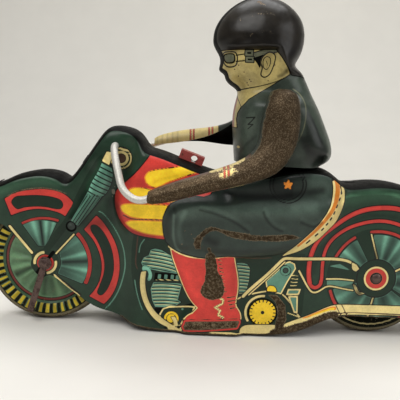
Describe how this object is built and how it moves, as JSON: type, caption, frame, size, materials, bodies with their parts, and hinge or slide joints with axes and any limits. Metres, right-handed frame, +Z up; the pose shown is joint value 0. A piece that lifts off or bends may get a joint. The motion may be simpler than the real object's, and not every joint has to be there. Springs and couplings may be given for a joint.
{
  "type": "wind-up tin motorcycle toy",
  "caption": "Wind-up tin motorcycle with a seated rider: pressed and printed halves, free wheels, bent wire handlebar and a clockwork drive with a key.",
  "frame": {"origin": "middle of the toy's footprint on the floor, under the middle of its length", "axes": "the front of the toy is -X, its left side is -Y, +Z is up"},
  "size_m": [0.216, 0.074, 0.1468],
  "materials": {
    "litho_body": "printed tin, dark green with coloured lines",
    "litho_rider": "printed tin, dark jacket and black helmet",
    "litho_arm": "printed tin, worn to brown metal",
    "litho_wheel": "printed tin wheel, green spokes and a blocked tread",
    "bright_wire": "bright drawn wire",
    "red_tin": "red enamel",
    "black_tin": "black enamel",
    "rusty_steel": "bare steel with light rust",
    "motor_steel": "bare steel",
    "spring_steel": "blued spring steel",
    "gear_brass": "turned brass",
    "key_steel": "nickel plate, dulled",
    "drive_rubber": "dark rubber"
  },
  "bodies": {
    "body": {"body_shell_left": "litho_body", "body_shell_right": "litho_body", "rider_shell_left": "litho_rider", "rider_shell_right": "litho_rider", "rider_web": "rusty_steel", "arm_left": "litho_arm", "arm_right": "litho_arm", "shoulder_rod": "rusty_steel", "handlebar": "bright_wire", "seam_tabs": "black_tin", "tank_clip": "red_tin", "front_axle": "rusty_steel", "rear_axle": "rusty_steel", "motor_plate_left": "motor_steel", "motor_plate_right": "motor_steel", "plate_pillars": "motor_steel", "mount_posts": "motor_steel", "mainspring": "spring_steel"},
    "front_wheel": {"front_wheel_left": "litho_wheel", "front_wheel_right": "litho_wheel", "front_hub": "rusty_steel"},
    "rear_wheel": {"rear_wheel_left": "litho_wheel", "rear_wheel_right": "litho_wheel", "rear_hub": "rusty_steel"},
    "stay": {"front_stay": "rusty_steel"},
    "great_wheel": {"great_wheel": "gear_brass", "click": "motor_steel", "click_rivet": "motor_steel"},
    "key": {"winding_arbor": "motor_steel", "ratchet_wheel": "motor_steel", "winding_key": "key_steel"},
    "second": {"second_pinion": "gear_brass", "second_wheel": "gear_brass", "second_arbor": "motor_steel"},
    "governor": {"governor_pinion": "gear_brass", "star_wheel": "gear_brass", "governor_arbor": "motor_steel"},
    "verge": {"verge": "motor_steel", "verge_staff": "motor_steel"},
    "drive": {"drive_pinion": "gear_brass", "drive_wheel_left": "drive_rubber", "drive_wheel_right": "drive_rubber", "drive_axle": "motor_steel"}
  },
  "joints": [
    {"name": "drive_spin", "type": "hinge", "parent": "body", "child": "drive", "pos_m": [0.009, 0, 0.011], "axis": [0, 1, 0], "continuous": true},
    {"name": "second_spin", "type": "hinge", "parent": "body", "child": "second", "pos_m": [0.00198, 0, 0.02626], "axis": [0, 1, 0], "continuous": true},
    {"name": "great_wheel_spin", "type": "hinge", "parent": "body", "child": "great_wheel", "pos_m": [0.014, 0, 0.042], "axis": [0, 1, 0], "continuous": true},
    {"name": "governor_spin", "type": "hinge", "parent": "body", "child": "governor", "pos_m": [-0.01251, 0, 0.02238], "axis": [0, 1, 0], "continuous": true},
    {"name": "key_wind", "type": "hinge", "parent": "great_wheel", "child": "key", "pos_m": [0.014, 0, 0.042], "axis": [0, 1, 0], "continuous": true},
    {"name": "verge_rock", "type": "hinge", "parent": "body", "child": "verge", "pos_m": [-0.02091, 0, 0.02938], "axis": [0, 1, 0], "range_deg": [-5, 5]},
    {"name": "front_wheel_spin", "type": "hinge", "parent": "body", "child": "front_wheel", "pos_m": [-0.08, 0, 0.028], "axis": [0, 1, 0], "continuous": true},
    {"name": "rear_wheel_spin", "type": "hinge", "parent": "body", "child": "rear_wheel", "pos_m": [0.066, 0, 0.028], "axis": [0, 1, 0], "continuous": true},
    {"name": "stay_swing", "type": "hinge", "parent": "body", "child": "stay", "pos_m": [-0.08, 0, 0.028], "axis": [0, 1, 0], "range_deg": [-30, 45]}
  ],
  "couplings": [
    {"joint": "second_spin", "follows": "drive_spin", "ratio": -0.4},
    {"joint": "great_wheel_spin", "follows": "drive_spin", "ratio": 0.088889},
    {"joint": "governor_spin", "follows": "drive_spin", "ratio": 1.6}
  ]
}
